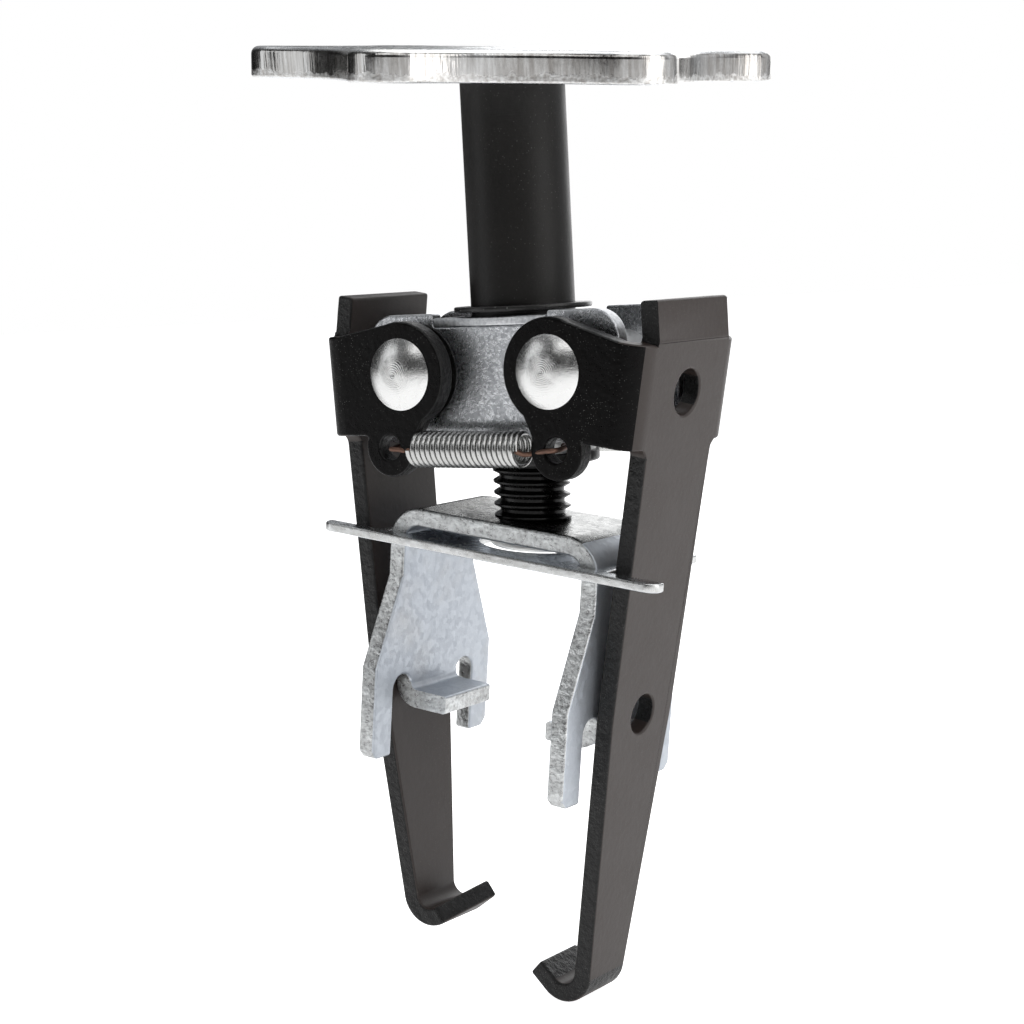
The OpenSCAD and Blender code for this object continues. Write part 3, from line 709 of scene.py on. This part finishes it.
# ---------------------------------------------------------------------------
# Screw. A 12 mm coarse left-hand thread, rolled and blackened, with a plain
# neck below it that is upset under the yoke's web.

screw_black = finish("screw_black", black_skin, {
    "Face": (0.006, 0.006, 0.006, 1), "Worn": (0.08, 0.075, 0.072, 1), "Speck size": 0.9,
    "Speck amount": 0.5, "Roughness": 0.26}, 0.55, (0.3, 0.0001))
pitch, crest, root = 1.75, 5.93, 4.98
yoke_lean, lean_z, web_z = 7.3, -23.5, -31.85  # the lean, the height it is about, and the web's top
yoke_turn = Euler((0, radians(yoke_lean), 0)).to_matrix()
yoke_down = Vector((0, 0, (rise + lean_z) * MM))
web_top = yoke_down + yoke_turn @ Vector((0, 0, (web_z - lean_z) * MM))
web_up = yoke_turn @ Vector((0, 0, 1))
bpy.ops.object.select_all(action="DESELECT")
bpy.ops.mesh.primitive_plane_add(size=1 * MM, location=(0, 0, 0))
screw = bpy.context.object
screw.name = screw.data.name = "threaded_screw"
bpy.ops.object.mode_set(mode="EDIT")
bpy.ops.mesh.select_all(action="SELECT")
bpy.ops.mesh.delete(type="ONLY_FACE")
bm = bmesh.from_edit_mesh(screw.data)
bmesh.ops.delete(bm, geom=list(bm.verts), context="VERTS")
outline = [(root, 0), (root, 0.24), (crest, 0.76), (crest, 1.03), (root, 1.55), (root, pitch)]
rung = [bm.verts.new((r * MM, 0, z * MM)) for r, z in outline]
for a, b in zip(rung, rung[1:]):
    bm.edges.new((a, b))
bmesh.update_edit_mesh(screw.data)
bpy.ops.object.mode_set(mode="OBJECT")
bpy.ops.object.modifier_add(type="SCREW")
wind = screw.modifiers[-1]
wind.axis = "Z"
wind.angle = -2 * pi
wind.screw_offset = pitch * MM
wind.iterations = 36
wind.steps = wind.render_steps = 40
wind.use_merge_vertices = True
wind.merge_threshold = 0.000001
bpy.ops.object.modifier_apply(modifier=wind.name)
bpy.ops.object.mode_set(mode="EDIT")
bpy.ops.mesh.select_all(action="SELECT")
bpy.ops.transform.translate(value=(0, 0, (rise - 36.4) * MM))
bpy.ops.mesh.remove_doubles(threshold=0.000002)
bpy.ops.mesh.select_all(action="SELECT")
bpy.ops.mesh.bisect(plane_co=(0, 0, (rise + 24.1) * MM), plane_no=(0, 0, 1),
                    use_fill=True, clear_outer=True)
bpy.ops.mesh.select_all(action="SELECT")
bpy.ops.mesh.bisect(plane_co=web_top, plane_no=web_up, use_fill=True, clear_inner=True)
bpy.ops.mesh.select_all(action="SELECT")
bpy.ops.mesh.normals_make_consistent(inside=False)
bpy.ops.object.mode_set(mode="OBJECT")
neck_at = yoke_down + yoke_turn @ Vector((1.07 * MM, 0, (web_z - 1.0 - lean_z) * MM))
bpy.ops.object.select_all(action="DESELECT")
bpy.ops.mesh.primitive_cylinder_add(vertices=64, radius=4.45 * MM, depth=3.8 * MM, location=neck_at,
                                    rotation=(0, radians(yoke_lean), 0))
neck = bpy.context.object
neck.name = "screw_neck"
bpy.ops.object.transform_apply(location=True, rotation=True, scale=True)
screw.select_set(True)
bpy.context.view_layer.objects.active = screw
bpy.ops.object.join()
screw.data.materials.clear()
screw.data.materials.append(screw_black)
bpy.ops.object.shade_smooth_by_angle(angle=radians(25))
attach(screw, "screw_yoke")
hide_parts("screw")

# ---------------------------------------------------------------------------
# Yoke and guide plate. The yoke is folded from 2.9 mm plate into a fork with
# flared feet and a tab turned in from each leg; the thin plate under its web
# keeps the jaws in line. Both are zinc plated with a faint blue passivation.

def leaning(face):
    """A face's middle and normal in the yoke's own upright frame, in millimetres."""
    back = yoke_turn.inverted()
    middle = back @ (face.calc_center_median() - yoke_down)
    return (middle / MM) + Vector((0, 0, lean_z)), back @ face.normal


yoke = press_copy("yoke", "folded_yoke")
yoke_skin = finish("yoke_blue_zinc", zinc_skin, {
    "Light": (0.53, 0.565, 0.61, 1), "Dark": (0.4, 0.43, 0.48, 1), "Stain": (0.52, 0.52, 0.52, 1),
    "Grain size": 0.8, "Grain depth": 0.3, "Roughness": 0.42}, 0.8, (0.22, 0.00012))
# The web's upper faces get a much darker, glossier copy of the zinc: real zinc grain, with a painted
# reflection of the black housing above it in its colour.
web_painted_reflection_skin = finish("yoke_web_painted_reflection_zinc", zinc_skin, {
    "Light": (0.24, 0.245, 0.24, 1), "Dark": (0.13, 0.135, 0.14, 1), "Stain": (0.17, 0.17, 0.15, 1),
    "Grain size": 0.8, "Grain depth": 0.4, "Roughness": 0.22}, 1.0, (0.22, 0.00012))
yoke_edge = finish("yoke_sheared_edge", sheared_skin, {
    "Bright": (0.8, 0.82, 0.82, 1), "Dull": (0.3, 0.3, 0.3, 1), "Line scale": (500, 500, 900), "Torn": 0.5,
    "Roughness": 0.2}, 1.0, (1.0, 0.0003))
yoke.data.materials.append(yoke_skin)
yoke.data.materials.append(yoke_edge)
yoke.data.materials.append(web_painted_reflection_skin)


def yoke_sheared(face):
    middle, facing = leaning(face)
    foot = abs(middle.x) > 16.4 and abs(facing.x) < 0.5 and middle.z < -40
    return abs(facing.y) > 0.6 or foot or (abs(middle.x) < 13 and abs(facing.x) > 0.6 and middle.z < -55)


bpy.ops.object.mode_set(mode="EDIT")
pick(yoke_sheared)
yoke.active_material_index = 1
bpy.ops.object.material_slot_assign()
# the web's upper faces take the copy of the zinc that carries the painted reflection
pick(lambda f: leaning(f)[1].z > 0.9 and leaning(f)[0].z > -40)
yoke.active_material_index = 2
bpy.ops.object.material_slot_assign()
bpy.ops.object.mode_set(mode="OBJECT")
round_edges(yoke, 0.45 * MM, 3, spare=lambda at: abs(abs(at.y) - 6) < 0.1)
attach(yoke, "screw_yoke")
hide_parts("yoke")

guide = press_copy("guide_plate", "jaw_guide_plate")
guide_skin = finish("guide_zinc", zinc_skin, {
    "Light": (0.8, 0.82, 0.84, 1), "Dark": (0.56, 0.59, 0.63, 1), "Stain": (0.72, 0.72, 0.68, 1),
    "Grain size": 1.3, "Grain depth": 0.5, "Roughness": 0.24}, 1.0, (0.2, 0.00012))
guide.data.materials.append(guide_skin)
guide_edge = finish("guide_sheared_edge", sheared_skin, {
    "Bright": (0.78, 0.79, 0.79, 1), "Dull": (0.48, 0.48, 0.47, 1), "Line scale": (500, 500, 900),
    "Torn": 0.15, "Roughness": 0.26}, 1.0, (0.5, 0.00015))
guide.data.materials.append(guide_edge)
bpy.ops.object.mode_set(mode="EDIT")
pick(lambda f: abs(leaning(f)[1].z) < 0.5)
guide.active_material_index = 1
bpy.ops.object.material_slot_assign()
bpy.ops.object.mode_set(mode="OBJECT")
round_edges(guide, 0.3 * MM, 3)
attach(guide, "screw_yoke")
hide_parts("guide_plate")
